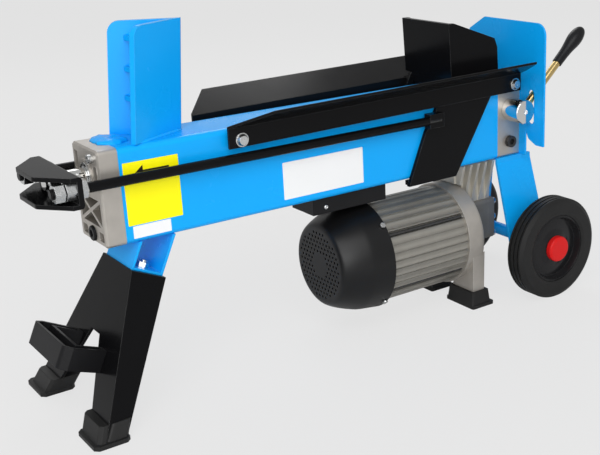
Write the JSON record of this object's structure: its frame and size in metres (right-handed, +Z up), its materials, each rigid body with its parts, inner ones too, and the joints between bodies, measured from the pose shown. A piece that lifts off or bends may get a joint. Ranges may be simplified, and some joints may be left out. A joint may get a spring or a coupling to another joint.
{
  "type": "log splitter",
  "caption": "Horizontal electric log splitter: fixed wedge on a box beam, sliding pusher pulled by side rods, folded front leg, motor and pump below, wheels and a control lever.",
  "frame": {"origin": "centre of the bounding box's underside, on the ground midway between the wheels' outer faces", "axes": "+X along the beam from the wedge end to the control lever, +Y across the beam towards the switch box, +Z up"},
  "size_m": [0.8206, 0.246, 0.447],
  "materials": {
    "blue_paint": "gloss",
    "black_paint": "gloss",
    "raw_aluminium": "as cast",
    "ribbed_aluminium": "brushed",
    "zinc_steel": "zinc plated",
    "plain_steel": "machined",
    "chrome_steel": "polished",
    "yellow_zinc": "yellow zinc",
    "grey_iron": "satin",
    "black_plastic": "matt",
    "grip_plastic": "gloss",
    "rim_plastic": "gloss",
    "red_plastic": "gloss",
    "green_plastic": "gloss",
    "tyre_rubber": "matt",
    "boot_rubber": "matt"
  },
  "bodies": {
    "frame": {"beam_tank": "blue_paint", "front_cover": "raw_aluminium", "oil_plug": "black_plastic", "rod_gland": "zinc_steel", "cylinder_tube": "plain_steel", "valve_block": "raw_aluminium", "valve_block_bolts": "zinc_steel", "splitting_wedge": "blue_paint", "wedge_gussets": "blue_paint", "cradle_near": "black_paint", "cradle_far": "black_paint", "cradle_bolts": "zinc_steel", "leg_bracket": "blue_paint", "front_leg": "black_paint", "leg_bolts": "zinc_steel", "leg_boots": "boot_rubber", "carry_handle": "black_plastic", "guard_plate": "blue_paint", "rear_bracket": "blue_paint", "axle_tube": "blue_paint", "wheel_axle": "plain_steel", "fan_cover": "black_paint", "fan_side_shield": "raw_aluminium", "stator_housing": "ribbed_aluminium", "wound_stator": "plain_steel", "motor_end_shield": "raw_aluminium", "motor_screws": "zinc_steel", "motor_bearings": "plain_steel", "motor_boots": "boot_rubber", "pump_housing": "grey_iron", "pump_cover": "grey_iron", "pump_cover_bolts": "zinc_steel", "manifold_block": "ribbed_aluminium", "switch_box": "black_plastic", "power_inlet": "black_plastic"},
    "ram": {"piston": "plain_steel", "piston_seal": "boot_rubber", "piston_rod": "chrome_steel", "ram_nuts": "zinc_steel", "yoke": "black_paint", "pull_rods": "black_paint", "pusher_head": "black_paint", "pusher_sides": "black_paint", "pusher_slide": "black_plastic"},
    "lever": {"lever_hub": "chrome_steel", "lever_rod": "yellow_zinc", "lever_grip": "grip_plastic"},
    "wheel_near": {"tyre_near": "tyre_rubber", "wheel_rim_near": "rim_plastic", "hub_cap_near": "red_plastic"},
    "wheel_far": {"tyre_far": "tyre_rubber", "wheel_rim_far": "rim_plastic", "hub_cap_far": "red_plastic"},
    "rotor": {"rotor": "plain_steel", "cooling_fan": "black_plastic", "pump_drive_gear": "plain_steel"},
    "driven_gear": {"pump_driven_gear": "plain_steel"},
    "on_button": {"on_button": "green_plastic"},
    "off_button": {"off_button": "red_plastic"},
    "bleed_screw": {"bleed_screw": "zinc_steel"}
  },
  "joints": [
    {"name": "ram_slide", "type": "slide", "parent": "frame", "child": "ram", "axis": [-1, 0, 0], "range_m": [0, 0.29]},
    {"name": "lever_hinge", "type": "hinge", "parent": "frame", "child": "lever", "pos_m": [0.28829, -0.05, 0.273], "axis": [0, 1, 0], "range_deg": [0, 60], "stiffness_Nm_per_rad": 1, "springref_deg": -20.05},
    {"name": "wheel_near_spin", "type": "hinge", "parent": "frame", "child": "wheel_near", "pos_m": [0.30889, -0.1037, 0.075], "axis": [0, 1, 0], "continuous": true},
    {"name": "wheel_far_spin", "type": "hinge", "parent": "frame", "child": "wheel_far", "pos_m": [0.30889, 0.1037, 0.075], "axis": [0, 1, 0], "continuous": true},
    {"name": "rotor_spin", "type": "hinge", "parent": "frame", "child": "rotor", "pos_m": [0.1, 0, 0.0988], "axis": [1, 0, 0], "continuous": true},
    {"name": "driven_gear_spin", "type": "hinge", "parent": "frame", "child": "driven_gear", "pos_m": [0.24, 0, 0.1228], "axis": [1, 0, 0], "continuous": true},
    {"name": "on_button_press", "type": "slide", "parent": "frame", "child": "on_button", "axis": [0, -1, 0], "range_m": [0, 0.003], "stiffness_N_per_m": 150, "springref_m": -0.002},
    {"name": "off_button_press", "type": "slide", "parent": "frame", "child": "off_button", "axis": [0, -1, 0], "range_m": [0, 0.003], "stiffness_N_per_m": 150, "springref_m": -0.002},
    {"name": "bleed_screw_turn_out", "type": "slide", "parent": "frame", "child": "bleed_screw", "axis": [-1, 0, 0], "range_m": [0, 0.003]}
  ],
  "couplings": [
    {"joint": "driven_gear_spin", "follows": "rotor_spin", "ratio": -1}
  ]
}
